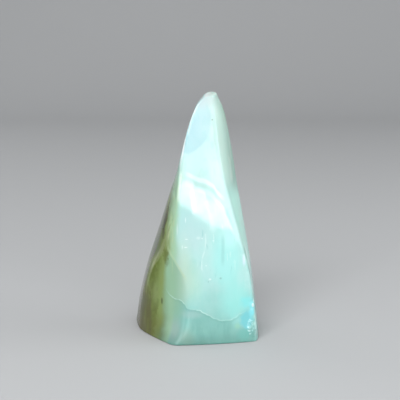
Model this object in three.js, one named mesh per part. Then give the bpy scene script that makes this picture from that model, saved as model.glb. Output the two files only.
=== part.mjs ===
// A polished freeform of Andean opal: one tall stone that tapers and twists from a
// sawn base to a small slanted facet at its tip. Millimetres, +Z up, with the origin
// in the middle of the base. The front looks along -Y.

import * as THREE from 'three';

// Driving dimensions
const HEIGHT = 100;          // base to the highest point of the tip
const BASE_BEVEL = 0.8;      // rounding between the sides and the sawn base
const TIP_BEVEL = 0.5;       // rounding around the tip facet
const TIP_SLANT = 0.35;      // rise of the tip facet per millimetre towards the back
const SLANT_START = 0.84 * HEIGHT;   // above this the rows begin to follow that slant
const TAPER_START = 0.4 * HEIGHT;    // above this the ridges get sharper
const TIP_ROUND = 0.3;       // share of a ridge's rounding that is left at the tip
const MOST_ROUND = 0.3;      // most of a face's width that one ridge may round off
const MOST_SWELL = 0.06;     // most that a face may swell, as a share of its width

// Fineness of the mesh
const ROWS = 40;             // rows of points up the sides
const BEVEL_STEPS = 3;       // rows on each of the two bevels
const RIDGE_STEPS = 2;       // points on each half of a ridge
const FACE_STEPS = 4;        // points on each third of a face

const hundredth = HEIGHT / 100;

// The ridges, counted anticlockwise from above. A line holds height, x and y in
// hundredths of the stone's height. round is how far the polish rolls the ridge
// over, and bow is how far the face that follows it swells past flat.
const RIDGES = [
  {
    name: 'front left', round: 3.4, bow: 1.0,
    line: [
      [0, -8.4, -20.8], [6, -4.4, -19.3], [14, -2.2, -17.6], [22, -2.4, -16.2],
      [30, -3.9, -15.1], [45, -6.0, -12.9], [60, -6.4, -10.5], [74, -5.1, -7.9],
      [86, -2.4, -5.2], [94, -0.1, -3.2], [98, 2.0, -2.0], [100, 4.6, -1.0],
    ],
  },
  {
    name: 'front right', round: 1.6, bow: 0.3,
    line: [
      [0, 26.2, -15.4], [24, 23.4, -11.3], [42, 19.0, -8.95], [56, 15.2, -7.05],
      [68, 12.1, -5.3], [80, 10.1, -3.4], [90, 8.9, -1.8], [100, 7.6, -0.3],
    ],
  },
  {
    name: 'right', round: 4.0, bow: 0.8,
    line: [
      [0, 27.2, 0.0], [30, 23.9, 2.5], [60, 18.8, 5.0], [80, 15.4, 5.8],
      [92, 12.7, 5.2], [100, 9.4, 3.2],
    ],
  },
  {
    name: 'back right', round: 5.0, bow: 1.4,
    line: [
      [0, 20.5, 18.6], [30, 17.4, 16.8], [60, 12.8, 13.4], [85, 9.8, 8.8],
      [100, 7.6, 4.4],
    ],
  },
  {
    name: 'back left', round: 3.0, bow: 0.4,
    line: [
      [0, -25.2, 14.4], [10, -23.7, 14.6], [28, -19.4, 14.4], [45, -13.9, 12.8],
      [60, -9.2, 10.6], [75, -3.9, 8.2], [90, 1.0, 5.6], [96, 3.0, 4.6],
      [100, 5.4, 3.6],
    ],
  },
  {
    name: 'left', round: 3.6, bow: 0.7,
    line: [
      [0, -22.8, -0.8], [12, -21.8, -1.6], [24, -19.2, -2.6], [36, -15.0, -3.2],
      [50, -11.6, -2.6], [62, -8.3, -1.6], [75, -5.0, -0.6], [88, -1.3, 0.4],
      [95, 1.2, 0.8], [98, 2.6, 1.1], [100, 4.5, 1.4],
    ],
  },
];

for (const ridge of RIDGES) {
  const heights = ridge.line.map(([z]) => z * hundredth);
  const places = ridge.line.flatMap(([, x, y]) => [x * hundredth, y * hundredth]);
  ridge.course = new THREE.CubicInterpolant(heights, places, 2);
}

// Where a ridge would cross a level if it were perfectly sharp.
function ridgePoint(ridge, z) {
  const [x, y] = ridge.course.evaluate(z);
  return new THREE.Vector2(x, y);
}

// A point on the way from one ridge to the next, on a face that swells by bow.
function facePoint(start, end, share, bow) {
  const along = end.clone().sub(start);
  const outward = new THREE.Vector2(along.y, -along.x).normalize();
  const swell = 4 * bow * share * (1 - share);
  return start.clone().addScaledVector(along, share).addScaledVector(outward, swell);
}

// The closed control polygon of one level: three points at each ridge, two on each face.
// The ridges get sharper towards the tip, and narrow faces swell and round off less.
function controlPolygon(z) {
  const corners = RIDGES.map((ridge) => ridgePoint(ridge, z));
  const below = Math.min(1, (HEIGHT - z) / (HEIGHT - TAPER_START));
  const taper = (TIP_ROUND + (1 - TIP_ROUND) * below ** 2) * hundredth;
  const polygon = [];
  RIDGES.forEach((ridge, i) => {
    const next = (i + 1) % RIDGES.length;
    const width = corners[i].distanceTo(corners[next]);
    const bow = Math.min(ridge.bow * hundredth, MOST_SWELL * width);
    const leave = Math.min(ridge.round * taper / width, MOST_ROUND);
    const arrive = Math.min(RIDGES[next].round * taper / width, MOST_ROUND);
    const third = (1 - leave - arrive) / 3;
    const shares = [0, leave, leave + third, 1 - arrive - third, 1 - arrive];
    for (const share of shares) {
      polygon.push(facePoint(corners[i], corners[next], share, bow));
    }
  });
  return polygon;
}

// One point of a uniform cubic B-spline, between its second and third control points.
function splinePoint(a, b, c, d, t) {
  const s = 1 - t;
  return new THREE.Vector2()
    .addScaledVector(a, s * s * s / 6)
    .addScaledVector(b, (3 * t * t * t - 6 * t * t + 4) / 6)
    .addScaledVector(c, (3 * s * s * s - 6 * s * s + 4) / 6)
    .addScaledVector(d, t * t * t / 6);
}

// The rounded outline of the stone at one level.
function section(z) {
  const polygon = controlPolygon(z);
  const count = polygon.length;
  const steps = [RIDGE_STEPS, FACE_STEPS, FACE_STEPS, FACE_STEPS, RIDGE_STEPS];
  const outline = [];
  for (let i = 0; i < count; i += 1) {
    const around = [-1, 0, 1, 2].map((offset) => polygon[(i + offset + count) % count]);
    const divisions = steps[i % steps.length];
    for (let k = 0; k < divisions; k += 1) {
      outline.push(splinePoint(...around, k / divisions));
    }
  }
  return outline;
}

// Levels from the base to the tip, each with how far the outline draws in there.
function levels() {
  const list = [];
  for (let k = 0; k < BEVEL_STEPS; k += 1) {
    const angle = k / BEVEL_STEPS * Math.PI / 2;
    list.push([BASE_BEVEL * (1 - Math.cos(angle)), BASE_BEVEL * (1 - Math.sin(angle))]);
  }
  const side = HEIGHT - BASE_BEVEL - TIP_BEVEL;
  for (let k = 0; k <= ROWS; k += 1) {
    list.push([BASE_BEVEL + side * k / ROWS, 0]);
  }
  for (let k = 1; k <= BEVEL_STEPS; k += 1) {
    const angle = k / BEVEL_STEPS * Math.PI / 2;
    const rise = TIP_BEVEL * Math.sin(angle);
    list.push([HEIGHT - TIP_BEVEL + rise, TIP_BEVEL * (1 - Math.cos(angle))]);
  }
  return list;
}

function middle(outline) {
  const sum = outline.reduce((total, point) => total.add(point), new THREE.Vector2());
  return sum.divideScalar(outline.length);
}

// The row of points of one level, drawn in for a bevel and tilted near the tip to its facet.
function row([z, inset]) {
  const outline = section(z);
  const centre = middle(outline);
  const tilt = TIP_SLANT * THREE.MathUtils.smoothstep(z, SLANT_START, HEIGHT);
  return outline.map((point) => {
    const reach = point.distanceTo(centre);
    const place = point.clone().lerp(centre, inset / reach);
    return new THREE.Vector3(place.x, place.y, z + tilt * (place.y - centre.y));
  });
}

// Shallow hollows: hand polishing leaves broad ones, and small knocks leave chips near
// the edges. Each has a centre and a radius, and a depth along the surface normal.
const HOLLOWS = [
  { name: 'knock at the front right foot', at: [26.0, -16.0, 2.5], radius: 4.2, depth: 0.9 },
  { name: 'knock at the back left foot', at: [-24.0, 14.5, 6.0], radius: 5.0, depth: 0.9 },
  { name: 'natural hollow in the back', at: [-6.0, 17.5, 34.0], radius: 12.0, depth: 1.3 },
  { name: 'flat on the back', at: [8.0, 12.0, 62.0], radius: 16.0, depth: 0.7 },
];

function hollowDepth(point) {
  let depth = 0;
  for (const hollow of HOLLOWS) {
    const centre = new THREE.Vector3(...hollow.at).multiplyScalar(hundredth);
    const share = point.distanceTo(centre) / (hollow.radius * hundredth);
    depth += hollow.depth * hundredth * Math.max(0, 1 - share * share) ** 2;
  }
  return depth;
}

// Presses the hollows into the sides, and leaves the sawn base flat.
function pressHollows(geometry) {
  geometry.computeVertexNormals();
  const place = geometry.getAttribute('position');
  const normal = geometry.getAttribute('normal');
  const point = new THREE.Vector3();
  const inward = new THREE.Vector3();
  for (let i = 0; i < place.count; i += 1) {
    point.fromBufferAttribute(place, i);
    const level = point.z;
    inward.fromBufferAttribute(normal, i).setZ(0);
    point.addScaledVector(inward, -hollowDepth(point));
    place.setXYZ(i, point.x, point.y, level);
  }
  geometry.deleteAttribute('normal');
}

// The closed skin: rings joined by triangles, and a fan over each end.
function stoneGeometry() {
  const rings = levels().map(row);
  const around = rings[0].length;
  const points = rings.flat();
  const faces = [];
  for (let r = 0; r + 1 < rings.length; r += 1) {
    for (let k = 0; k < around; k += 1) {
      const a = r * around + k;
      const b = r * around + (k + 1) % around;
      faces.push(a, b, b + around, a, b + around, a + around);
    }
  }
  const foot = points.length;
  const peak = foot + 1;
  const last = (rings.length - 1) * around;
  for (const ring of [rings[0], rings[rings.length - 1]]) {
    const centre = new THREE.Vector3();
    ring.forEach((point) => centre.addScaledVector(point, 1 / around));
    points.push(centre);
  }
  for (let k = 0; k < around; k += 1) {
    const next = (k + 1) % around;
    faces.push(foot, next, k);
    faces.push(peak, last + k, last + next);
  }
  const geometry = new THREE.BufferGeometry().setFromPoints(points);
  geometry.setIndex(faces);
  pressHollows(geometry);
  geometry.computeBoundingBox();
  const box = geometry.boundingBox;
  const centre = box.getCenter(new THREE.Vector3());
  const scale = HEIGHT / (box.max.z - box.min.z);
  geometry.translate(-centre.x, -centre.y, -box.min.z);
  geometry.scale(1, 1, scale);
  return geometry;
}

const opal = new THREE.MeshStandardMaterial({
  color: 0x9fdcd4,
  roughness: 0.12,
  metalness: 0,
});

const stone = new THREE.Mesh(stoneGeometry(), opal);
stone.name = 'andean_opal';

const part = new THREE.Group();
part.add(stone);

export default part;
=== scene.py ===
# A polished freeform of Andean opal on a plain studio floor. The stone's form follows the
# same ridges as its CAD solid, at a finer mesh, and its milky aqua, olive and brown zones,
# healed cracks and specks, with some painted highlights and shade, are worked out in the
# volume of the stone, so that every face cuts through them as a saw and a polishing wheel would.

import math

import bpy
import numpy as np
from mathutils import Matrix, Vector


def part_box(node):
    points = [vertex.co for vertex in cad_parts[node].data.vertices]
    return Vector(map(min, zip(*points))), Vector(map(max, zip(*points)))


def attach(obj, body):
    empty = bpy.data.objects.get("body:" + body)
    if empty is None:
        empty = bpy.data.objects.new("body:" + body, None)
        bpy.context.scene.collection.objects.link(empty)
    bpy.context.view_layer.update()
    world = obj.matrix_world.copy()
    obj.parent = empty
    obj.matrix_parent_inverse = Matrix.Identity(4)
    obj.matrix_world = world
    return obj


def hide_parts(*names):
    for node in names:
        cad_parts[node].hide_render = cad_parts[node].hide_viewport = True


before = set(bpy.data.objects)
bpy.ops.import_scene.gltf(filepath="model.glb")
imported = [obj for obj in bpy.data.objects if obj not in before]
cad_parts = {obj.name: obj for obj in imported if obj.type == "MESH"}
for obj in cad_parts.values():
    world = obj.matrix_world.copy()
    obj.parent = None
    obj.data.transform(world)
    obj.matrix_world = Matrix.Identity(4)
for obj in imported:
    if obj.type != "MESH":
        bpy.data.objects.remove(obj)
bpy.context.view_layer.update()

STONE = "andean_opal"
low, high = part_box(STONE)
HEIGHT = high.z - low.z
UNIT = HEIGHT / 100           # metres in a hundredth of the stone's height

# ---------------------------------------------------------------- the stone's form
# Lengths in this part are hundredths of the stone's height.

TOP = 100
BASE_BEVEL = 0.8
TIP_BEVEL = 0.5
TIP_SLANT = 0.35              # how steeply the tip facet rises towards the back
SLANT_START = 84              # above this the rows begin to follow that slant
TAPER_START = 40              # above this the ridges get sharper
TIP_ROUND = 0.3               # share of a ridge's rounding that is left at the tip
MOST_ROUND = 0.3              # most of a face's width that one ridge may round off
MOST_SWELL = 0.06             # most that a face may swell, as a share of its width
ROWS = 262                    # rows of points up the sides
BEVEL_STEPS = 5               # rows on each of the two bevels
RIDGE_STEPS = 6               # points on each half of a ridge
POINT_SPACING = 0.46          # along the faces, at the spacing level
SPACING_LEVEL = 12.0          # the level where that spacing holds
STRETCHES = 5                 # of a control polygon, from one ridge to the next
CHIP_STEEPNESS = 0.7          # under 1 gives a chip steep sides and a flat floor

# Ridges anticlockwise from above: how far the polish rolls the ridge over, how far the
# face after it swells past flat, and the ridge's line as height, x and y.
RIDGES = {
    "front left": (3.4, 1.0, [
        (0, -8.4, -20.8), (6, -4.4, -19.3), (14, -2.2, -17.6), (22, -2.4, -16.2),
        (30, -3.9, -15.1), (45, -6.0, -12.9), (60, -6.4, -10.5), (74, -5.1, -7.9),
        (86, -2.4, -5.2), (94, -0.1, -3.2), (98, 2.0, -2.0), (100, 4.6, -1.0)]),
    "front right": (1.6, 0.3, [
        (0, 26.2, -15.4), (24, 23.4, -11.3), (42, 19.0, -8.95), (56, 15.2, -7.05),
        (68, 12.1, -5.3), (80, 10.1, -3.4), (90, 8.9, -1.8), (100, 7.6, -0.3)]),
    "right": (4.0, 0.8, [
        (0, 27.2, 0.0), (30, 23.9, 2.5), (60, 18.8, 5.0), (80, 15.4, 5.8), (92, 12.7, 5.2),
        (100, 9.4, 3.2)]),
    "back right": (5.0, 1.4, [
        (0, 20.5, 18.6), (30, 17.4, 16.8), (60, 12.8, 13.4), (85, 9.8, 8.8), (100, 7.6, 4.4)]),
    "back left": (3.0, 0.4, [
        (0, -25.2, 14.4), (10, -23.7, 14.6), (28, -19.4, 14.4), (45, -13.9, 12.8),
        (60, -9.2, 10.6), (75, -3.9, 8.2), (90, 1.0, 5.6), (96, 3.0, 4.6), (100, 5.4, 3.6)]),
    "left": (3.6, 0.7, [
        (0, -22.8, -0.8), (12, -21.8, -1.6), (24, -19.2, -2.6), (36, -15.0, -3.2),
        (50, -11.6, -2.6), (62, -8.3, -1.6), (75, -5.0, -0.6), (88, -1.3, 0.4), (95, 1.2, 0.8),
        (98, 2.6, 1.1), (100, 4.5, 1.4)]),
}

# Hollows and knocks: centre, radius and depth.
HOLLOWS = [
    ((26.0, -16.0, 2.5), 4.2, 0.9),      # knock at the front right foot
    ((-24.0, 14.5, 6.0), 5.0, 0.9),      # knock at the back left foot
    ((-6.0, 17.5, 34.0), 12.0, 1.3),     # natural hollow in the back
    ((8.0, 12.0, 62.0), 16.0, 0.7),      # flat on the back
]

# Chips and pits: centre, radius, depth and how rough the floor is.
CHIPS = [
    ((22.3, -14.0, 6.8), 1.5, 0.22, 0.09),     # open pit lined with tiny crystals
    ((24.9, -15.0, 10.6), 0.9, 0.22, 0.06),
    ((23.9, -12.8, 16.6), 1.1, 0.25, 0.08),
    ((24.1, -13.3, 13.9), 0.8, 0.20, 0.05),
    ((22.2, -10.8, 28.5), 0.7, 0.15, 0.04),
    ((20.4, -9.9, 35.5), 0.8, 0.15, 0.04),
    ((27.0, 2.0, 1.5), 1.6, 0.35, 0.06),
    ((12.0, 19.3, 1.2), 1.3, 0.30, 0.05),
    ((-21.9, 15.4, 27.0), 0.8, 0.25, 0.05),
]


def course(line, levels):
    """Where a ridge runs at each level: a smooth curve through the points of its line."""
    heights, places = np.split(np.array(line, float), [1], axis=1)
    chords = np.diff(places, axis=0) / np.diff(heights, axis=0)
    slopes = np.vstack([chords[:1], (chords[1:] + chords[:-1]) / 2, chords[-1:]])
    step = np.searchsorted(heights[:, 0], levels, side="right") - 1
    step = np.clip(step, 0, len(heights) - 2)
    span = heights[step + 1] - heights[step]
    t = (levels[:, None] - heights[step]) / span
    ahead = t * t * (3 - 2 * t)
    curve = (1 - ahead) * places[step] + ahead * places[step + 1]
    curve += span * t * (1 - t) ** 2 * slopes[step]
    curve -= span * t * t * (1 - t) * slopes[step + 1]
    return curve


def face_controls(start, end, leave, arrive, bow):
    """The control points from one ridge up to the next, for every level."""
    along = end - start
    outward = np.column_stack([along[:, 1], -along[:, 0]])
    outward /= np.linalg.norm(outward, axis=1, keepdims=True)
    third = (1 - leave - arrive) / 3
    shares = [0 * leave, leave, leave + third, 1 - arrive - third, 1 - arrive]
    return [start + share * along + 4 * bow * share * (1 - share) * outward for share in shares]


def control_polygons(levels):
    """Three control points at each ridge and two on each face, for every level."""
    rounds = [ridge[0] for ridge in RIDGES.values()]
    bows = [ridge[1] for ridge in RIDGES.values()]
    corners = [course(ridge[2], levels) for ridge in RIDGES.values()]
    below = np.minimum(1, (TOP - levels[:, None]) / (TOP - TAPER_START))
    taper = TIP_ROUND + (1 - TIP_ROUND) * below ** 2
    polygon = []
    for i, start in enumerate(corners):
        after = (i + 1) % len(corners)
        width = np.linalg.norm(corners[after] - start, axis=1, keepdims=True)
        leave = np.minimum(rounds[i] * taper / width, MOST_ROUND)
        arrive = np.minimum(rounds[after] * taper / width, MOST_ROUND)
        bow = np.minimum(bows[i], MOST_SWELL * width)
        polygon += face_controls(start, corners[after], leave, arrive, bow)
    return np.stack(polygon, axis=1)


def spline_weights(count, steps):
    """Weights that turn a closed control polygon into points of its cubic B-spline."""
    rows = []
    for i in range(count):
        for t in np.arange(steps[i]) / steps[i]:
            # the four weights of a cubic B-spline, times 6
            weights = [(1 - t) ** 3, 3 * t ** 3 - 6 * t ** 2 + 4,
                       3 * (1 - t) ** 3 - 6 * (1 - t) ** 2 + 4, t ** 3]
            row = np.zeros(count)
            for offset, weight in zip((-1, 0, 1, 2), weights):
                row[(i + offset) % count] += weight / 6
            rows.append(row)
    return np.array(rows)


def face_steps():
    """How many points each stretch of the control polygon gets."""
    steps = []
    polygon = control_polygons(np.array([SPACING_LEVEL]))[0]
    lengths = np.linalg.norm(np.roll(polygon, -1, axis=0) - polygon, axis=1)
    for i, length in enumerate(lengths):
        on_ridge = i % STRETCHES in (0, STRETCHES - 1)
        steps.append(RIDGE_STEPS if on_ridge else math.ceil(length / POINT_SPACING))
    return steps


def side_levels():
    """Levels from the base to the tip, and how far the outline draws in at each."""
    angles = np.arange(BEVEL_STEPS) / BEVEL_STEPS * math.pi / 2
    foot = BASE_BEVEL * (1 - np.cos(angles))
    foot_inset = BASE_BEVEL * (1 - np.sin(angles))
    sides = np.linspace(BASE_BEVEL, TOP - TIP_BEVEL, ROWS + 1)
    angles = np.arange(1, BEVEL_STEPS + 1) / BEVEL_STEPS * math.pi / 2
    peak = TOP - TIP_BEVEL + TIP_BEVEL * np.sin(angles)
    peak_inset = TIP_BEVEL * (1 - np.cos(angles))
    levels = np.concatenate([foot, sides, peak])
    insets = np.concatenate([foot_inset, 0 * sides, peak_inset])
    return levels, insets


def stone_grid():
    """The stone's skin as rows of points, before its hollows."""
    levels, insets = side_levels()
    steps = face_steps()
    weights = spline_weights(len(steps), steps)
    outline = np.einsum("pc,lcd->lpd", weights, control_polygons(levels))
    centre = outline.mean(axis=1, keepdims=True)
    reach = np.linalg.norm(outline - centre, axis=2, keepdims=True)
    outline += (centre - outline) * insets[:, None, None] / reach
    share = np.clip((levels - SLANT_START) / (TOP - SLANT_START), 0, 1)
    tilt = TIP_SLANT * share ** 2 * (3 - 2 * share)
    rise = tilt[:, None] * (outline[:, :, 1] - centre[:, :, 1])
    return np.dstack([outline, levels[:, None] + rise])


def grid_normals(grid):
    """The outward normal at each point."""
    around = np.roll(grid, -1, axis=1) - np.roll(grid, 1, axis=1)
    upward = np.gradient(grid, axis=0)
    normal = np.cross(around, upward)
    return normal / np.linalg.norm(normal, axis=2, keepdims=True)


def press_hollows(grid):
    """The knocks and hollows of the solid, pressed in level by level."""
    inward = -grid_normals(grid)
    inward[:, :, 2] = 0
    depth = np.zeros(grid.shape[:2])
    for centre, radius, deepest in HOLLOWS:
        share = np.linalg.norm(grid - np.array(centre), axis=2) / radius
        depth += deepest * np.maximum(0, 1 - share ** 2) ** 2
    return grid + inward * depth[:, :, None]


def press_chips(grid):
    """Small chips along the edges and open pits, each with a rough floor."""
    dice = np.random.default_rng(7)
    inward = -grid_normals(grid)
    inward[:, :, 2] *= grid[:, :, 2] > 2 * BASE_BEVEL
    depth = np.zeros(grid.shape[:2])
    rough = dice.uniform(-1, 1, grid.shape[:2])
    for centre, radius, deepest, roughness in CHIPS:
        share = np.linalg.norm(grid - np.array(centre), axis=2) / radius
        inside = np.maximum(0, 1 - share ** 2)
        depth += inside ** CHIP_STEEPNESS * (deepest + roughness * rough)
    return grid + inward * np.maximum(depth, 0)[:, :, None]


def fit_to_frame(grid):
    """Hundredths to metres, with the grid's box on the CAD node's box."""
    least = grid.min(axis=(0, 1))
    most = grid.max(axis=(0, 1))
    share = (grid - least) / (most - least)
    return np.array(low) + share * np.array(high - low)


def smooth_object(name, points, faces):
    """A new smooth mesh object in the scene."""
    mesh = bpy.data.meshes.new(name)
    mesh.from_pydata(points, [], faces)
    mesh.polygons.foreach_set("use_smooth", [True] * len(faces))
    mesh.update()
    made = bpy.data.objects.new(name, mesh)
    bpy.context.scene.collection.objects.link(made)
    return made


def build_stone():
    """The stone's mesh: quads up the sides, and one face each for the base and the tip."""
    grid = fit_to_frame(press_chips(press_hollows(stone_grid())))
    rings, around = grid.shape[:2]
    index = np.arange(rings * around).reshape(rings, around)
    beside = np.roll(index, -1, axis=1)
    quads = np.stack([index[:-1], beside[:-1], beside[1:], index[1:]], axis=2)
    faces = quads.reshape(-1, 4).tolist()
    faces.append(index[0][::-1].tolist())
    faces.append(index[-1].tolist())
    return smooth_object("polished_opal", grid.reshape(-1, 3).tolist(), faces)


# ---------------------------------------------------------------- fields through the stone
class Field:
    """A number, colour or place that varies through the stone, as a socket of a node tree.
    Arithmetic on fields adds the nodes that work it out."""

    def __init__(self, socket):
        self.socket = socket

    def node(self, kind, inputs, output=0, **settings):
        """A new node of a kind, fed with fields or constants, as a field."""
        tree = self.socket.id_data
        node = tree.nodes.new(kind)
        for name, value in settings.items():
            setattr(node, name, value)
        for slot, value in inputs.items():
            if isinstance(value, Field):
                tree.links.new(value.socket, node.inputs[slot])
            else:
                node.inputs[slot].default_value = value
        return Field(node.outputs[output])

    def math(self, operation, other=0.0):
        return self.node("ShaderNodeMath", {0: self, 1: other}, operation=operation)

    def __add__(self, other):
        return self.math("ADD", other)

    def __sub__(self, other):
        return self.math("SUBTRACT", other)

    def __mul__(self, other):
        return self.math("MULTIPLY", other)

    def __abs__(self):
        return self.math("ABSOLUTE")

    def ramp(self, start, end):
        """0 where the field is start, 1 where it is end, and smooth between them."""
        return self.node("ShaderNodeMapRange", {0: self, 1: start, 2: end},
                         interpolation_type="SMOOTHSTEP")

    def near(self, centre, half_width, softness):
        """1 within half_width of centre, falling to 0 over softness."""
        return abs(self - centre).ramp(half_width + softness, half_width)

    def between(self, start, end, softness):
        """1 from start to end, falling to 0 over softness on either side."""
        return self.near((start + end) / 2, (end - start) / 2, softness)

    def most(self, *others):
        """The largest of several fields."""
        result = self
        for other in others:
            result = result.math("MAXIMUM", other)
        return result

    def mix(self, first, second):
        """The first colour where the field is 0, turning to the second where it is 1."""
        # inputs 6 and 7 and output 2 are the node's colours
        return self.node("ShaderNodeMix", {0: self, 6: first, 7: second}, 2, data_type="RGBA")

    def tint(self, colour, amount):
        """This colour, turned towards another by an amount from 0 to 1."""
        return amount.mix(self, (*colour, 1))

    def traced(self, points):
        """The field's value read off a smooth curve through points of (value, result)."""
        values, results = zip(*points)
        span = values[-1] - values[0]
        least = min(results)
        rise = max(results) - least
        share = (self - values[0]) * (1 / span)
        curve = share.node("ShaderNodeFloatCurve", {1: share})
        mapping = curve.socket.node.mapping
        dots = mapping.curves[0].points
        while len(dots) < len(points):
            dots.new(0.5, 0.5)
        for dot, value, result in zip(dots, values, results):
            dot.location = ((value - values[0]) / span, (result - least) / rise)
        mapping.update()
        return curve * rise + least

    def vector(self, operation, other, output=0):
        return self.node("ShaderNodeVectorMath", {0: self, 1: other}, output,
                         operation=operation)

    def from_centre(self, centre, radii):
        """How far a place is from the middle of an ellipsoid, 1 on its skin."""
        stretch = tuple(1 / radius for radius in radii)
        share = self.vector("SUBTRACT", centre).vector("MULTIPLY", stretch)
        return share.vector("LENGTH", (0, 0, 0), 1)

    def blob(self, centre, radii, softness):
        """1 inside an ellipsoid, falling to 0 at its skin over a share of its radii."""
        return self.from_centre(centre, radii).ramp(1, 1 - softness)

    def noise(self, size, detail, shift=0.0):
        """Cloudy noise about 0.5, with clouds of roughly this size along x, y and z. Each
        shift gives other clouds."""
        scale = tuple(1 / length for length in size)
        place = self.vector("MULTIPLY", scale).vector("ADD", (shift, shift, shift))
        return place.node("ShaderNodeTexNoise", {"Vector": place, "Scale": 1.0,
                                                 "Detail": detail})


# ---------------------------------------------------------------- the opal
# Colours are linear. Places and lengths are hundredths of the stone's height: x to the
# right and z up as the front face is seen, y away from it.

# Milky and blue stone.
AQUA = (0.32, 0.60, 0.57)
DEEP_AQUA = (0.29, 0.56, 0.53)
COOL_AQUA = (0.34, 0.60, 0.59)
MILK = (0.42, 0.63, 0.61)
ICE = (0.47, 0.63, 0.62)
WHITE = (0.72, 0.80, 0.78)
# painted highlight along the left edge of the tip
HIGHLIGHT_WHITE = (0.80, 0.84, 0.83)
SKY = (0.30, 0.505, 0.56)
MIST = (0.36, 0.50, 0.54)
TIP_GREY = (0.42, 0.48, 0.50)
# painted reflection on the tip's small facet
FACET_REFLECTION_GREY = (0.62, 0.62, 0.63)
CRYSTAL_BLUE = (0.50, 0.82, 0.85)
# painted highlight on the front right ridge
LAVENDER_HIGHLIGHT = (0.62, 0.66, 0.78)
# Teal stone.
RIM_TEAL = (0.65, 0.87, 0.82)
PALE_TEAL = (0.62, 0.88, 0.85)
BRIGHT_TEAL = (0.50, 0.82, 0.73)
RIDGE_TEAL = (0.27, 0.52, 0.48)
SHADE_TEAL = (0.24, 0.50, 0.48)
STREAK_TEAL = (0.22, 0.47, 0.47)
MILKY_TEAL = (0.30, 0.47, 0.45)
DULL_TEAL = (0.175, 0.40, 0.36)
DEEP_TEAL = (0.12, 0.30, 0.26)
# painted shade at the foot
FOOT_SHADE_TEAL = (0.05, 0.13, 0.10)
# Green stone.
# painted highlight along the front left ridge
RIDGE_HIGHLIGHT_WHITE = (0.78, 0.86, 0.80)
SPRING_GREEN = (0.43, 0.62, 0.37)
LEAF_GREEN = (0.40, 0.66, 0.44)
PALE_GREEN = (0.34, 0.53, 0.34)
SEA_GREEN = (0.30, 0.50, 0.39)
GREY_GREEN = (0.38, 0.55, 0.46)
SIDE_GREEN = (0.25, 0.38, 0.32)
MOSS_GREEN = (0.23, 0.40, 0.27)
FERN_GREEN = (0.22, 0.36, 0.25)
# painted shade beside the front left ridge
RIDGE_SHADE_GREEN = (0.18, 0.30, 0.22)
DARK_MOSS = (0.15, 0.235, 0.115)
BLACK_GREEN = (0.05, 0.07, 0.03)
# Olive and brown stone.
CREAM = (0.46, 0.54, 0.32)
YELLOW_GREEN = (0.25, 0.345, 0.155)
LIGHT_OLIVE = (0.235, 0.31, 0.13)
# painted highlight along the left ridge
HIGHLIGHT_OLIVE = (0.22, 0.26, 0.12)
PALE_OLIVE = (0.215, 0.275, 0.115)
YELLOW_OLIVE = (0.19, 0.26, 0.085)
OLIVE = (0.13, 0.175, 0.042)
SEAM_OLIVE = (0.100, 0.130, 0.024)
DEEP_OLIVE = (0.085, 0.110, 0.025)
DARK_OLIVE = (0.045, 0.050, 0.012)
GREY_OLIVE = (0.115, 0.12, 0.08)
BROWN = (0.10, 0.095, 0.040)
# painted shade at the left of the foot
FOOT_SHADE_BROWN = (0.09, 0.085, 0.02)
INK = (0.03, 0.035, 0.02)
# Healed cracks.
VEIN_PALE = (0.46, 0.66, 0.60)
VEIN_AQUA = (0.38, 0.62, 0.58)
VEIN_GREEN = (0.38, 0.55, 0.47)
VEIN_OLIVE = (0.42, 0.55, 0.36)

# The plane of the front face: its y at the foot, and how far it runs back towards the right
# and upwards, as shares of x and z.
FRONT_FOOT = -19.7
FRONT_TURN = 0.14
FRONT_LEAN = 0.176
# The way to the olive corner, as x and y, and the y past which it comes no nearer.
TO_OLIVE = (-0.78, 0.62)
OLIVE_BACK = 4.0

# Healed cracks that cross the front, as height against x.
MAIN_VEIN = [(-13.6, 27.0), (-12.6, 21.8), (-11.1, 19.3), (-9.4, 18.1), (-6.5, 17.3),
             (-4.9, 16.3), (-3.2, 14.8), (0.7, 14.0), (3.6, 12.6), (6.8, 11.0), (9.2, 10.1),
             (13.2, 9.7), (15.7, 10.4), (18.0, 12.0), (21.0, 12.6)]
HIGH_VEIN = [(-8.0, 69.0), (-5.3, 67.0), (-2.5, 65.6), (0.2, 64.1), (3.7, 63.0), (6.8, 61.0),
             (8.6, 58.4), (13.0, 54.4)]
# Healed cracks, edges and lines of painted highlight and shade that run up it, as x against
# height.
OLIVE_EDGE = [(23.0, -3.4), (25.3, -3.9), (27.1, -4.6), (29.5, -6.1), (31.9, -7.7),
              (34.0, -9.2), (36.0, -10.6), (38.8, -11.8), (44.0, -12.2), (50.0, -12.4)]
WAVY_VEIN = [(29.0, 3.6), (31.6, 2.2), (33.9, 2.3), (37.5, 3.3), (39.1, 3.7), (44.5, 3.8)]
# A painted highlight at the foot, by the front left ridge.
FOOT_RIDGE_HIGHLIGHT = [(0.0, -8.4), (3.6, -6.3), (7.4, -5.3), (13.3, -4.9)]
# Where the painted shade and highlight of the front left ridge meet.
PAINTED_RIDGE_EDGE = [(55.0, -7.6), (60.0, -7.5), (63.5, -7.1), (67.0, -6.7), (70.0, -6.3), (75.0, -5.4)]
RIM = [(height, x) for height, x, _ in RIDGES["front right"][2]]
# Lines through the stone, as height, x and y: the dark seam and the pale streak of painted
# highlight in the left ridge, a pale streak beside the front right one, and the painted white
# highlight along the left edge of the tip.
SEAM = [(40.0, -13.8, -3.9), (44.0, -13.5, -3.2), (47.2, -13.0, -2.5), (50.5, -12.3, -2.4),
        (54.0, -11.5, -2.1), (58.0, -10.6, -1.6)]
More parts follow.
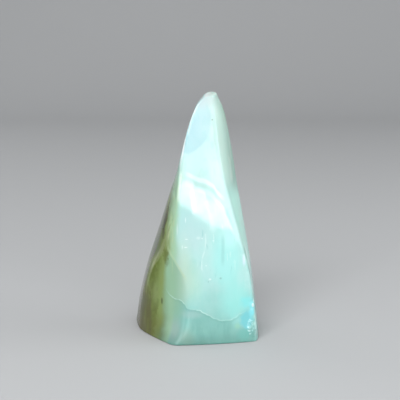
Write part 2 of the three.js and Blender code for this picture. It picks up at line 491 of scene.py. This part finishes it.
# A painted highlight along the left ridge, below the seam.
LEFT_RIDGE_HIGHLIGHT = [(18.0, -20.8, -2.0), (23.8, -19.6, -2.0), (29.2, -17.9, -2.5),
               (31.3, -16.7, -3.5), (34.2, -15.2, -4.3), (36.5, -14.1, -4.9),
               (40.9, -12.5, -5.9), (43.0, -11.9, -6.6)]
RIGHT_STREAK = [(15.0, 24.1, -7.6), (20.4, 23.1, -9.2), (25.5, 22.4, -7.6), (29.0, 21.7, -6.3),
                (33.0, 21.1, -5.5), (38.0, 20.0, -4.3)]
TIP_HIGHLIGHT_LINE = [(68.0, -7.0, -7.4), (77.7, -5.5, -5.6), (83.5, -4.4, -3.8), (90.0, -2.6, -2.8),
              (96.0, 0.0, -1.7)]
# Healed cracks of the right side and the back: direction across, level and strength.
BACK_VEINS = [((0.35, 0.45, 0.82), 33.0, 0.35), ((-0.45, 0.35, 0.82), 52.0, 0.28),
              ((0.88, -0.35, 0.32), 16.0, 0.22)]
# Where the olive zone starts, against height, along the way to the olive corner.
OLIVE_START = [(0.0, 5.0), (14.0, 5.6), (24.0, 6.0), (33.0, 5.6), (39.0, 4.8), (46.0, 6.2),
               (57.0, 9.0), (66.0, 14.0)]

# Soft patches of tone, each laid over the ones before it: how its edge runs, its centre and
# radii, how soft it is, its colour and its strength. The first ones are those of the front
# face and of the left side next to it.
FRONT_PATCHES = {
    "grey middle":
        ("smooth", (-2.0, -12.0, 47.0), (9.5, 12.0, 13.0), 0.7, (0.42, 0.59, 0.595), 0.6),
    "green left ridge":
        ("smooth", (-8.2, -11.6, 37.5), (3.0, 4.0, 7.5), 0.9, (0.31, 0.50, 0.36), 0.5),
    "sea green left part":
        ("drifted", (-6.0, -13.0, 26.0), (9.0, 10.0, 15.0), 0.8, SEA_GREEN, 0.6),
    # Clear aqua stone, made lighter as a painted skirt of the window's highlight.
    "clear right part with painted highlight skirt":
        ("smooth", (12.0, -10.0, 34.0), (9.0, 12.0, 16.0), 0.7, (0.345, 0.68, 0.655), 0.8),
    "warm cloud":
        ("smooth", (-5.5, -13.5, 30.0), (6.0, 8.0, 22.0), 0.9, (0.52, 0.62, 0.52), 0.5),
    "clear lower right part":
        ("drifted", (15.5, -13.0, 17.0), (9.0, 9.0, 14.0), 0.8, (0.275, 0.655, 0.615), 0.65),
    "pale strip beside the olive edge":
        ("smooth", (-7.0, -12.8, 25.0), (1.7, 4.0, 9.5), 0.9, (0.42, 0.66, 0.55), 0.3),
    "dark green below that strip":
        ("smooth", (-11.0, -11.2, 15.5), (2.3, 4.0, 5.5), 0.9, (0.20, 0.37, 0.24), 0.4),
    "dull lower middle":
        ("smooth", (6.0, -14.6, 19.0), (8.5, 7.0, 9.5), 0.9, (0.24, 0.50, 0.46), 0.28),
    "mild cloud":
        ("smooth", (-0.2, -14.3, 24.0), (4.5, 5.0, 11.0), 0.9, (0.52, 0.66, 0.50), 0.22),
    # Painted highlight: the tail of the window's reflection below its right end.
    "painted highlight tail by the right ridge":
        ("smooth", (13.5, -9.5, 42.0), (6.0, 6.0, 6.5), 0.9, (0.50, 0.78, 0.75), 0.5),
}
FOOT_PATCHES = {
    "green spot":
        ("smooth", (16.8, -16.0, 6.9), (2.0, 6.0, 1.9), 0.9, (0.27, 0.53, 0.33), 0.4),
    "cream left foot":
        ("smooth", (-13.8, -12.0, 3.0), (2.0, 6.0, 3.0), 0.9, (0.36, 0.42, 0.28), 0.45),
    "grey front left ridge":
        ("drifted", (-8.8, -15.0, 5.0), (4.6, 8.0, 10.0), 0.8, (0.28, 0.38, 0.34), 0.7),
    "dull green right of that ridge":
        ("drifted", (-3.8, -18.0, 3.0), (5.2, 5.0, 5.0), 0.8, (0.21, 0.36, 0.30), 0.7),
}
CORNER_PATCHES = {
    "deep green foot":
        ("ragged", (19.8, -15.0, 3.4), (4.5, 6.0, 4.0), 0.7, (0.15, 0.41, 0.37), 0.85),
    "clear blue middle":
        ("ragged", (20.4, -14.0, 9.2), (3.1, 6.0, 4.8), 0.5, (0.155, 0.50, 0.54), 0.85),
    "bright blue edge":
        ("ragged", (22.5, -12.5, 13.5), (1.8, 5.0, 6.5), 0.8, (0.21, 0.62, 0.68), 0.85),
    "blue top":
        ("ragged", (20.4, -12.7, 16.2), (4.0, 5.0, 4.4), 0.9, (0.22, 0.63, 0.63), 0.85),
    "milky front right ridge":
        ("ragged", (24.9, -12.5, 7.5), (1.9, 6.0, 9.5), 0.7, (0.42, 0.66, 0.64), 0.85),
}
# Dark patches below the seam: centre and radii.
SEAM_PATCHES = [((-18.0, -3.7, 26.0), (2.5, 5.0, 5.4)), ((-12.3, -7.2, 34.4), (2.2, 4.1, 5.6))]
# The open pit at the right foot, which holds the druse: centre and radii.
PIT = ((22.1, -14.0, 6.3), (1.1, 4.0, 2.7))

# Mineral specks and milky dots: centre, radii and strength.
DARK_SPECKS = [
    ((6.5, -2.2, 89.3), (0.5, 3, 0.5), 0.5), ((9.9, -13.5, 26.4), (0.7, 3, 0.6), 0.28),
    ((4.9, -14.6, 25.2), (0.3, 3, 0.3), 0.4), ((-14.1, -8.1, 15.4), (0.6, 3, 1.9), 0.6),
    ((-19.2, -8.0, 2.5), (0.5, 4, 0.5), 0.4), ((24.1, -14.0, 4.6), (0.4, 3, 0.5), 0.4)]
MILKY_DOTS = [
    ((-4.3, -11.0, 50.0), (0.3, 3, 1.6), 0.6), ((-4.2, -13.0, 39.2), (1.0, 3, 0.3), 0.7),
    ((-3.9, -12.0, 42.4), (0.9, 3, 0.3), 0.6), ((-5.6, -12.2, 39.2), (0.25, 3, 1.3), 0.6),
    ((2.4, -11.8, 42.6), (0.5, 3, 0.4), 0.6), ((6.9, -11.5, 41.5), (0.6, 3, 0.35), 0.6),
    ((0.9, -11.8, 42.8), (1.3, 3, 0.9), 0.3), ((-7.6, -10.6, 46.0), (0.4, 3, 4.0), 0.35),
    ((5.6, -14.2, 26.2), (0.8, 3, 0.6), 0.6), ((4.0, -13.5, 31.7), (0.4, 3, 0.4), 0.6),
    ((21.9, -15.5, 3.3), (0.4, 3, 0.4), 0.6)]


class Stone:
    """Where a point of the stone is, and the noise that its zones share, as fields."""

    def __init__(self, tree):
        coordinates = tree.nodes.new("ShaderNodeTexCoord")
        metres = Field(coordinates.outputs["Object"])
        self.place = metres.vector("MULTIPLY", (1 / UNIT, 1 / UNIT, 1 / UNIT))
        axes = [self.place.node("ShaderNodeSeparateXYZ", {0: self.place}, axis)
                for axis in range(3)]
        self.x, self.y, self.z = axes
        self.wobble = self.place.noise((5, 5, 7), 3) - 0.5
        # places that noise has pushed about, for zones whose edges aren't smooth
        self.drifted = self.pushed(0.16, (2.5, 2.5, 2.5))
        self.ragged = self.pushed(0.6, (2.2, 2.2, 3.4))
        self.edges = {"smooth": self.place, "drifted": self.drifted, "ragged": self.ragged}
        # how far behind the plane of the front face
        self.depth = self.y - FRONT_FOOT - self.x * FRONT_TURN - self.z * FRONT_LEAN
        self.front = self.depth.ramp(5, 2)
        # the sides that the front view doesn't show
        self.behind = self.y.ramp(1, 8)
        # how far towards the olive corner at the left
        drift = (self.place.noise((14, 14, 26), 4, 91) - 0.5) * self.behind * 34
        back = self.y.math("MINIMUM", OLIVE_BACK)
        self.left = self.x * TO_OLIVE[0] + back * TO_OLIVE[1] + drift
        # how far below the main vein
        jog = self.place.noise((1.9, 1.9, 1.9), 3, 7) - 0.5
        self.vein_drop = self.x.traced(MAIN_VEIN) - self.z + self.wobble * 0.7 + jog * 1.5
        # the upright grain of the olive stone
        self.grain = self.place.noise((2.2, 3.0, 13), 3, 3)
        # 0 where thin veins fade out
        self.unbroken = self.place.noise((3, 3, 3), 2, 17).ramp(0.28, 0.56)

    def pushed(self, scale, reach):
        """The place, pushed about by noise of a scale and a reach along x, y and z."""
        push = self.place.node("ShaderNodeTexNoise", {"Vector": self.place, "Scale": scale,
                                                      "Detail": 3.0}, 1)
        push = push.vector("SUBTRACT", (0.5, 0.5, 0.5)).vector("MULTIPLY", reach)
        return self.place.vector("ADD", push)

    def height(self, waver):
        """How high a place is, with a waver that makes edges uneven."""
        return self.z + self.wobble * waver

    def leftward(self, waver):
        """How far towards the olive corner a place is, with such a waver."""
        return self.left + self.wobble * waver

    def right_of(self, line, waver=0.0):
        """How far to the right of a line of x against height, which may waver a little."""
        return self.x + self.wobble * waver - self.z.traced(line)

    def from_line(self, line):
        """How far a place is, level by level, from a line of height, x and y."""
        across = self.x + self.wobble * 0.8 - self.z.traced([(z, x) for z, x, _ in line])
        behind = self.y + self.wobble * 3 - self.z.traced([(z, y) for z, _, y in line])
        return (across * across + behind * behind).math("POWER", 0.5)

    def patched(self, colour, patches):
        """A colour with soft patches of other tones."""
        for edge, centre, radii, softness, tone, strength in patches.values():
            inside = self.edges[edge].blob(centre, radii, softness)
            colour = colour.tint(tone, inside * strength)
        return colour


def clear_body(stone):
    """The milky aqua body, paler towards the tip and duller towards the foot."""
    clouds = stone.place.noise((13, 13, 24), 3, 2)
    colour = clouds.ramp(0.35, 0.68).mix((*AQUA, 1), (*MILK, 1))
    colour = colour.tint(ICE, stone.height(14).ramp(46, 76) * 0.8)
    wisps = stone.place.noise((2.6, 4, 15), 3, 31)
    colour = colour.tint(MILK, wisps.ramp(0.52, 0.7) * 0.4)
    colour = colour.tint(AQUA, wisps.ramp(0.42, 0.3) * 0.4)
    blotches = stone.place.noise((4, 4, 5), 4, 61)
    colour = colour.tint(MILK, blotches.ramp(0.5, 0.66) * 0.3)
    colour = colour.tint(DEEP_AQUA, blotches.ramp(0.48, 0.34) * 0.3)
    # Duller and darker towards the foot: partly the stone's own tone, partly painted shade where
    # it stands.
    colour = colour.tint(DULL_TEAL, stone.height(5).ramp(26, 5) * 0.7)
    return colour.tint(DEEP_TEAL, stone.z.ramp(9, 1) * 0.65)


def tip_zone(stone, colour):
    """A bluer zone inside the left of the tip, a painted white highlight along its left edge, and
    a greyer top whose small facet carries a painted pale reflection."""
    bluer = stone.drifted.blob((-4.2, -4.0, 89.5), (10.6, 14.0, 14.2), 0.10)
    paler = stone.place.blob((4.0, -3.5, 86.0), (6.0, 10.0, 8.0), 0.9)
    bluer = bluer * stone.z.ramp(99, 88) * stone.depth.ramp(11, 4) * (paler * -0.32 + 0.8)
    colour = colour.tint(SKY, bluer)
    cloud = stone.drifted.blob((2.5, -2.0, 95.5), (6.0, 8.0, 4.0), 0.8)
    colour = colour.tint(MIST, cloud * 0.4)
    # A painted white highlight along the left edge of the tip.
    edge = stone.from_line(TIP_HIGHLIGHT_LINE).ramp(1.2, 0.3) * stone.z.ramp(68, 78)
    colour = colour.tint(HIGHLIGHT_WHITE, edge * 0.85)
    colour = colour.tint(TIP_GREY, stone.z.ramp(93, 97) * 0.5)
    # A painted pale reflection on the tip's small facet.
    facet = (stone.z - stone.y * TIP_SLANT).ramp(98.0, 98.5)
    return colour.tint(FACET_REFLECTION_GREY, facet * 0.9)


def front_tones(stone, colour):
    """The slow changes of tone over the front face, with a paler rim along its right ridge
    and one darker upright streak."""
    colour = stone.patched(colour, FRONT_PATCHES)
    above_veins = stone.z.between(71, 79, 7) * stone.front
    colour = colour.tint(COOL_AQUA, above_veins * 0.2)
    rim = stone.right_of(RIM).near(1.4, 1.0, 4.0) * stone.depth.ramp(9, 3)
    colour = colour.tint(RIM_TEAL, rim * stone.z.between(69, 90, 10) * 0.78)
    shade = (stone.x + stone.wobble * 0.5).near(10.8, 0.2, 0.8)
    return colour.tint(SHADE_TEAL, shade * stone.z.between(34, 41, 4) * stone.front * 0.4)


def side_tones(stone, colour):
    """The greyer, greener right side, with a pale streak beside its ridge."""
    right = stone.depth.ramp(0.4, 4.0) * stone.x.ramp(3, 7)
    colour = colour.tint(GREY_GREEN, right * stone.z.ramp(46, 70) * 0.5)
    back = stone.y + stone.wobble * 8
    outer = stone.depth.ramp(4.0, 9.5) * stone.x.ramp(6, 10) * back.ramp(11, 4)
    colour = colour.tint(SIDE_GREEN, outer * stone.z.ramp(54, 66) * 0.5)
    inner = stone.depth.ramp(1.5, 4.0) * stone.x.ramp(6, 10) * back.ramp(9, 3)
    colour = colour.tint(BRIGHT_TEAL, inner * stone.z.between(34, 56, 8) * 0.7)
    bands = stone.place.noise((2.2, 3.0, 40), 2, 11)
    colour = colour.tint(WHITE, right * bands.ramp(0.5, 0.75) * stone.z.ramp(20, 50) * 0.25)
    duller = stone.place.blob((20.0, -7.0, 35.0), (1.1, 2.0, 5.5), 0.7)
    colour = colour.tint(RIDGE_TEAL, duller * 0.6)
    streak = stone.from_line(RIGHT_STREAK).ramp(1.7, 0.5)
    return colour.tint(PALE_TEAL, streak * stone.z.between(19, 35, 5) * 0.5)


def back_veils(stone, colour):
    """Veils of moss green and milky stone in the back."""
    veils = stone.drifted.noise((9, 9, 16), 4, 71)
    colour = colour.tint(MOSS_GREEN, veils.ramp(0.52, 0.68) * stone.behind * 0.55)
    return colour.tint(MILK, veils.ramp(0.46, 0.34) * stone.behind * 0.6)


def foot_zone(stone, colour):
    """The duller stone below the main vein."""
    below = stone.vein_drop.ramp(-0.1, 0.4) * stone.x.ramp(18, 11) * stone.y.ramp(2, -6)
    colour = colour.tint(DULL_TEAL, below * stone.vein_drop.ramp(22, 3) * 0.75)
    bands = stone.drifted.noise((3.4, 5.0, 14), 3, 67)
    foot = stone.z.ramp(14, 5) * stone.front
    colour = colour.tint(DEEP_TEAL, bands.ramp(0.46, 0.66) * foot * 0.35)
    colour = colour.tint(MILK, bands.ramp(0.42, 0.30) * foot * 0.08)
    colour = stone.patched(colour, FOOT_PATCHES)
    pale = stone.place.blob((-2.0, -16.5, 12.4), (7.0, 5.0, 2.6), 0.8)
    return colour.tint(MILKY_TEAL, pale * below * 0.6)


def blue_corner(stone, colour):
    """Clear blue stone at the right foot, with a druse of tiny crystals in its pit, ringed in
    blue and painted with white glints, and two painted glints above it."""
    colour = stone.patched(colour, CORNER_PATCHES)
    pit = stone.ragged.from_centre(*PIT)
    crystals = stone.place.noise((0.7, 0.7, 0.9), 2, 5)
    colour = colour.tint(CRYSTAL_BLUE, pit.near(0.9, 0.1, 0.35) * crystals.ramp(0.42, 0.56) * 0.5)
    # Painted glints on the tiny crystals of the druse.
    colour = colour.tint(WHITE, pit.ramp(1.5, 0.6) * crystals.ramp(0.58, 0.66) * 0.4)
    # Two painted glints above the pit.
    lower = stone.place.blob((23.1, -12.0, 14.8), (0.7, 1.4, 1.1), 0.5)
    upper = stone.place.blob((23.7, -11.0, 16.6), (0.5, 1.2, 1.3), 0.5)
    return colour.tint(WHITE, lower.most(upper) * 0.6)


def olive_span(stone):
    """1 in the lower part of the stone, where the green and olive zones are. Their top
    slopes down towards the back."""
    slope = stone.y.math("MAXIMUM", 0.0) * 1.8
    return (stone.height(8) + slope).ramp(76, 61)


def green_zone(stone, colour):
    """Green stone between the front face and the olive zone."""
    green = stone.leftward(1.6).ramp(-2.2, 1.0)
    colour = colour.tint(PALE_GREEN, green * olive_span(stone) * 0.9)
    colour = colour.tint(FERN_GREEN, green * stone.z.ramp(18, 8) * 0.75)
    level = stone.height(4).between(13, 33, 7)
    beyond_edge = stone.right_of(OLIVE_EDGE, -1.0).ramp(0.4, -1.2)
    colour = colour.tint(MOSS_GREEN, stone.left.ramp(-8, -1) * level * beyond_edge * 0.75)
    yellower = stone.leftward(3).ramp(0.5, 4.5) * stone.z.between(37, 48, 6)
    return colour.tint(YELLOW_GREEN, yellower * 0.85)


def olive_zone(stone, colour):
    """Stone that turns from moss green to olive, and to brown at the foot, towards the back
    left corner."""
    span = olive_span(stone)
    inward = stone.leftward(3)
    upper = stone.z.between(50, 62, 8) * 0.85
    lower = stone.z.ramp(30, 14) * 0.75
    colour = colour.tint(DARK_MOSS, inward.ramp(1.0, 6.0) * upper.most(lower) * span)
    inside = inward - stone.z.traced(OLIVE_START)
    colour = colour.tint(YELLOW_OLIVE, inside.ramp(-2.6, 0.6) * span)
    colour = colour.tint(OLIVE, inside.ramp(0.5, 3.5) * span * stone.grain.ramp(0.26, 0.5))
    blotches = stone.ragged.noise((3.5, 3.5, 6), 2, 19)
    blotchy = inside.ramp(0.0, 3.0) * span * 0.45
    colour = colour.tint(PALE_OLIVE, blotchy * blotches.ramp(0.55, 0.66))
    colour = colour.tint(DEEP_OLIVE, blotchy * blotches.ramp(0.44, 0.34))
    foot = stone.height(6).ramp(25, 14)
    colour = colour.tint(BROWN, inside.ramp(3.0, 7.0) * foot * stone.grain.ramp(0.7, 0.4) * 0.9)
    corner = stone.leftward(4).ramp(12.5, 17.0) * span
    return colour.tint(GREY_OLIVE, corner * stone.grain.ramp(0.3, 0.55) * 0.8)


def left_ridge_tones(stone, colour):
    """Darker stone behind the left ridge, cream fibres before it and a lighter patch below."""
    darker = stone.left.ramp(8.2, 10.5) * stone.z.between(36, 50, 6)
    colour = colour.tint(BLACK_GREEN, darker * 0.6)
    fibres = stone.place.noise((1.1, 2.0, 9), 2, 53).ramp(0.56, 0.72)
    span = stone.leftward(3).ramp(-1.5, 1.5) * stone.left.ramp(8, 5)
    colour = colour.tint(CREAM, fibres * span * stone.z.between(34, 62, 8) * 0.5)
    lighter = stone.place.blob((-16.6, -5.8, 18.5), (2.4, 4.0, 8.5), 0.9)
    return colour.tint(LIGHT_OLIVE, lighter * 0.45)


def green_veil(stone, colour):
    """A sea green veil through the olive of the back left corner."""
    veil = stone.drifted.blob((-17.0, 16.0, 30.0), (9.0, 9.0, 24.0), 0.8)
    return colour.tint(SEA_GREEN, veil * stone.grain.ramp(0.6, 0.4) * 0.7)


def dark_seam(stone, colour):
    """The dark olive seam down the left ridge, greener stone before it, and dark patches and a
    pale streak of painted highlight, broken by fibres, below it."""
    fibres = stone.ragged.noise((1.4, 1.4, 7), 3, 97)
    greener = stone.ragged.blob((-10.3, -7.6, 48.5), (1.5, 3.5, 8.0), 0.8)
    colour = colour.tint(SPRING_GREEN, greener * 0.5)
    seam = stone.from_line(SEAM) + abs(stone.z - 48.5) * 0.3 + (fibres - 0.5) * 3
    colour = colour.tint(DARK_OLIVE, seam.ramp(3.5, 1.6) * 0.97)
    for centre, radii in SEAM_PATCHES:
        patch = stone.ragged.from_centre(centre, radii) + (fibres - 0.5) * 1.5
        colour = colour.tint(SEAM_OLIVE, patch.ramp(1.0, 0.2) * 0.85)
    # Painted highlight: a pale streak along the left ridge, broken by the fibres.
    streak = stone.from_line(LEFT_RIDGE_HIGHLIGHT) + abs(stone.z - 34) * 0.07
    return colour.tint(HIGHLIGHT_OLIVE, streak.ramp(1.8, 0.8) * fibres.ramp(0.3, 0.5) * 0.8)


def front_left_ridge(stone, colour):
    """Green stone that ends at the ridge at the left of the front face, with a painted dark line
    of shade before that ridge and a painted pale highlight along it.
    """
    across = stone.right_of(PAINTED_RIDGE_EDGE, 0.4)
    ridge = stone.depth.ramp(12, 6)
    green = ridge * stone.z.between(60, 70, 3)
    colour = colour.tint(LEAF_GREEN, across.ramp(-0.9, -1.6) * green * 0.45)
    # Painted shade: a dark line just left of the front left ridge.
    colour = colour.tint(RIDGE_SHADE_GREEN, across.between(-0.8, -0.4, 0.3) * green * 0.5)
    pale = ridge * stone.z.between(59, 67, 3)
    # Painted highlight: a pale line along the ridge.
    return colour.tint(RIDGE_HIGHLIGHT_WHITE, across.between(0.1, 0.8, 0.3) * pale * 0.45)


def main_vein(stone, colour):
    """The wavy healed crack above the foot: a thin pale line over a faint dark line of painted
    shade.
    """
    span = stone.x.between(-13.2, 17, 3) * stone.depth.ramp(10, 4)
    # Painted shade: a faint dark line just below the vein.
    colour = colour.tint(DEEP_TEAL, stone.vein_drop.near(0.7, 0.1, 0.5) * span * 0.16)
    line = stone.vein_drop.near(0, 0.04, 0.28) * span * (stone.unbroken * 0.85 + 0.15)
    colour = colour.tint(VEIN_PALE, line * stone.x.ramp(9, 0) * 0.75)
    return colour.tint(VEIN_AQUA, line * 0.3)


def high_vein(stone, colour):
    """The healed crack high on the front face: a green line with a milky band above it and, below
    it, a band that is partly milky stone and partly painted highlight.
    """
    rise = stone.height(0.9) - stone.x.traced(HIGH_VEIN)
    green = rise.near(0, 0.15, 0.8) * stone.x.between(-5.5, 9, 3) * stone.front
    colour = colour.tint(VEIN_GREEN, green * 0.26)
    # The band below the line is partly painted highlight, the one above it milky stone.
    milky = (rise.near(-1.9, 0.5, 1.0) * 0.4).most(rise.near(2.1, 0.4, 1.0))
    return colour.tint(WHITE, milky * stone.x.between(-2.0, 9, 3.5) * stone.front * 0.5)


def upright_veins(stone, colour):
    """Thin pale lines: the olive edge on the left side, a wavy vein up the front face, and a
    faint painted highlight at the foot, by the front left ridge."""
    edge = stone.right_of(OLIVE_EDGE, 0.5).near(0, 0.1, 0.9)
    edge = edge * stone.z.between(28, 44, 3) * stone.depth.ramp(9, 5)
    colour = colour.tint(VEIN_OLIVE, edge * 0.45)
    wavy = stone.right_of(WAVY_VEIN, 0.7).near(0, 0.08, 0.40)
    wavy = wavy * stone.z.between(30.5, 43.5, 1.5) * stone.front
    colour = colour.tint(WHITE, wavy * stone.unbroken * 0.33)
    # A faint painted highlight at the foot, by the front left ridge.
    foot = stone.right_of(FOOT_RIDGE_HIGHLIGHT).near(0, 0.1, 0.7)
    foot = foot * stone.z.between(2, 11, 3) * stone.front
    return colour.tint(MILK, foot * 0.12)


def back_veins(stone, colour):
    """Healed cracks across the right side and the back."""
    jog = stone.place.noise((8, 8, 8), 4, 79) * 9
    unbroken = stone.place.noise((6, 6, 6), 2, 83).ramp(0.42, 0.62) * stone.behind
    for direction, level, strength in BACK_VEINS:
        across = stone.place.vector("DOT_PRODUCT", direction, 1) + jog - level
        colour = colour.tint(WHITE, across.near(0, 0.05, 0.45) * unbroken * strength)
    return colour


def streaks(stone, colour):
    """Thin upright streaks, light and dark, in the middle of the front face, and a painted
    lavender highlight on its right ridge."""
    middle = stone.place.blob((8.0, -12.0, 38.0), (12.0, 12.0, 15.0), 0.4) * stone.front
    thin = stone.place.noise((1.5, 4.0, 7.0), 3, 23)
    colour = colour.tint(WHITE, thin.ramp(0.60, 0.74) * middle * 0.35)
    colour = colour.tint(STREAK_TEAL, thin.ramp(0.40, 0.28) * middle * 0.45)
    # A painted highlight on the front right ridge.
    glint = stone.place.blob((19.4, -9.5, 33.2), (0.9, 1.6, 3.6), 0.8)
    return colour.tint(LAVENDER_HIGHLIGHT, glint * 0.65)


def foot_shade(stone, colour):
    """Painted shade where the foot meets what it stands on, browner at the left."""
    left = stone.leftward(4).ramp(0, 4) * stone.z.ramp(14, 2)
    colour = colour.tint(FOOT_SHADE_BROWN, left * 0.45)
    foot = stone.height(2).ramp(6, 0.5) * stone.left.ramp(10, 3)
    return colour.tint(FOOT_SHADE_TEAL, foot * (stone.x.ramp(2, 16) * -0.22 + 0.35))


def specks(stone, colour):
    """Small dark mineral specks and milky dots, each where the stone shows one."""
    for tone, softness, spots in ((INK, 0.7, DARK_SPECKS), (WHITE, 0.8, MILKY_DOTS)):
        inside = [stone.place.blob(centre, radii, softness) * strength
                  for centre, radii, strength in spots]
        colour = colour.tint(tone, inside[0].most(*inside[1:]))
    return colour


# In the order in which they are laid over the clear body.
ZONES = [tip_zone, front_tones, side_tones, back_veils, foot_zone, blue_corner, green_zone,
         olive_zone, left_ridge_tones, green_veil, dark_seam, front_left_ridge, main_vein,
         high_vein, upright_veins, back_veins, streaks, foot_shade, specks]


def polish(stone):
    """How rough the polish is: worn near the foot, softer at the olive corner and dull on
    the sawn base."""
    worn = stone.height(5).ramp(17, 5)
    softer = stone.leftward(3).ramp(5, 11)
    patches = stone.place.noise((6, 6, 6), 4, 13)
    dull = stone.z.ramp(0.5, 0.2)
    return patches * 0.04 + (worn * 0.18).most(softer * 0.06) + dull * 0.3 + 0.03


def relief(stone):
    """Hand polish: a faint swell, fine scuffs, a slight rise in the middle of the front face,
    and a main vein that stands open by a hair."""
    swell = stone.place.noise((9, 9, 9), 2, 41) * 0.030
    ripple = stone.place.noise((3.2, 3.2, 3.2), 2, 43) * 0.004
    scuffs = stone.place.noise((0.5, 0.5, 3.0), 2, 47) * 0.0006
    crack = stone.vein_drop.near(0, 0.02, 0.25) * stone.x.between(-13, 18, 2) * stone.front
    rise = stone.place.blob((6.5, -11.5, 42.5), (6.5, 8.0, 7.0), 1.0) * 0.014
    height = swell + ripple + scuffs - crack * 0.02 + rise
    return height.node("ShaderNodeBump", {"Strength": 1.0, "Distance": UNIT,
                                          "Height": height})


def opal_material():
    """The polished opal: its zones, polish and relief, lit a little from inside."""
    material = bpy.data.materials.new("opal")
    material.use_nodes = True
    tree = material.node_tree
    shader = tree.nodes["Principled BSDF"]
    stone = Stone(tree)
    colour = clear_body(stone)
    for zone in ZONES:
        colour = zone(stone, colour)
    tree.links.new(colour.socket, shader.inputs["Base Color"])
    tree.links.new(polish(stone).socket, shader.inputs["Roughness"])
    tree.links.new(relief(stone).socket, shader.inputs["Normal"])

    shader.inputs["IOR"].default_value = 1.45
    shader.inputs["Subsurface Weight"].default_value = 0.35
    shader.inputs["Subsurface Radius"].default_value = (0.5, 1.0, 0.9)
    shader.inputs["Subsurface Scale"].default_value = 3 * UNIT
    return material


# ---------------------------------------------------------------- the studio
PALE_GREY = (0.42, 0.43, 0.44)
CAMERA_PLACE = (0.0155, -4.02, 1.40)      # in stone heights
CAMERA_DROP = 11.8                        # degrees that it looks down
# Lights that face the middle of the stone: azimuth, 0 in front and 90 to the right, and
# elevation in degrees, distance and size in stone heights, radiance, roll in degrees, and
# whether the light is seen in the polish alone.
LIGHTS = {
    "key": (-20, 36, 11, (7, 5), 8.8, 0, False),
    "overhead": (180, 84, 10, (9, 7), 1.0, 0, False),
    "right_fill": (85, 22, 9, (6, 6), 2.5, 0, False),
    "left_rim": (-125, 15, 9, (5, 8), 1.0, 0, False),
    "window_left_pane": (-4, 8.6, 9, (5.8, 0.50), 11.0, 0, True),
    "window_middle_pane": (18, 7.7, 9, (2.0, 0.45), 12.5, 3, True),
    "window_right_pane": (29.2, 8.5, 9, (1.8, 0.38), 13.0, 9, True),
    "window_side_pane": (46.5, 10.2, 9, (3.9, 1.04), 3.2, 0, True),
    "window_high_pane": (20, 19.3, 9, (8.0, 2.9), 4.0, 0, False),
}


def plain_material(name, colour, roughness):
    """One even colour, for the studio floor."""
    material = bpy.data.materials.new(name)
    material.use_nodes = True
    shader = material.node_tree.nodes["Principled BSDF"]
    shader.inputs["Base Color"].default_value = (*colour, 1)
    shader.inputs["Roughness"].default_value = roughness
    return material


def build_floor():
    """A pale floor that sweeps up behind into a plain backdrop."""
    half_width = 40 * HEIGHT
    front = -40 * HEIGHT
    back = 7 * HEIGHT
    sweep = 4 * HEIGHT
    top = 16 * HEIGHT
    steps = 24
    profile = [(front, 0), (back, 0)]
    for k in range(1, steps + 1):
        angle = k / steps * math.pi / 2
        profile.append((back + sweep * math.sin(angle), sweep * (1 - math.cos(angle))))
    profile.append((back + sweep, top))
    points = [(side * half_width, y, z) for y, z in profile for side in (-1, 1)]
    faces = [(2 * k, 2 * k + 1, 2 * k + 3, 2 * k + 2) for k in range(len(profile) - 1)]
    floor = smooth_object("studio_floor", points, faces)
    floor.data.materials.append(plain_material("pale_floor", PALE_GREY, 0.8))


def add_soft_light(name, azimuth, elevation, distance, size, radiance, roll, gloss_only):
    """A rectangular soft light as LIGHTS gives it. Its roll lifts its right end."""
    data = bpy.data.lights.new(name, "AREA")
    data.shape = "RECTANGLE"
    data.size = size[0] * HEIGHT
    data.size_y = size[1] * HEIGHT
    data.energy = radiance * math.pi * data.size * data.size_y
    light = bpy.data.objects.new(name, data)
    bpy.context.scene.collection.objects.link(light)
    turn = math.radians(azimuth)
    lift = math.radians(elevation)
    towards = Vector((math.sin(turn) * math.cos(lift), -math.cos(turn) * math.cos(lift),
                      math.sin(lift)))
    light.location = Vector((0, 0, HEIGHT / 2)) + distance * HEIGHT * towards
    light.visible_camera = False
    light.visible_diffuse = not gloss_only
    facing = towards.to_track_quat("Z", "Y").to_matrix()
    light.rotation_euler = (facing @ Matrix.Rotation(math.radians(roll), 3, "Z")).to_euler()


def build_lights():
    """Soft studio light, and the panes that show as a bright window in the polish."""
    for name, light in LIGHTS.items():
        add_soft_light(name, *light)


def build_world():
    """Even grey light, dimmer at the horizon, where it meets the floor."""
    world = bpy.data.worlds.new("grey_room")
    world.use_nodes = True
    tree = world.node_tree
    direction = Field(tree.nodes.new("ShaderNodeTexCoord").outputs["Generated"])
    height = direction.node("ShaderNodeSeparateXYZ", {0: direction}, 2)
    brightness = height.ramp(-0.1, 0.5) * 0.20 + 0.22
    tree.links.new(brightness.socket, tree.nodes["Background"].inputs["Color"])
    bpy.context.scene.world = world


def build_camera():
    """A long lens in front of the stone, a little above it and looking down."""
    data = bpy.data.cameras.new("camera")
    data.sensor_width = 36
    data.lens = 90
    camera = bpy.data.objects.new("camera", data)
    bpy.context.scene.collection.objects.link(camera)
    camera.location = Vector(CAMERA_PLACE) * HEIGHT
    camera.rotation_euler = (math.radians(90 - CAMERA_DROP), 0, 0)
    bpy.context.scene.camera = camera


build_camera()
stone = build_stone()
stone.data.materials.append(opal_material())
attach(stone, "root")
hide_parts(STONE)
build_floor()
build_lights()
build_world()
bpy.context.scene.view_settings.view_transform = "Standard"
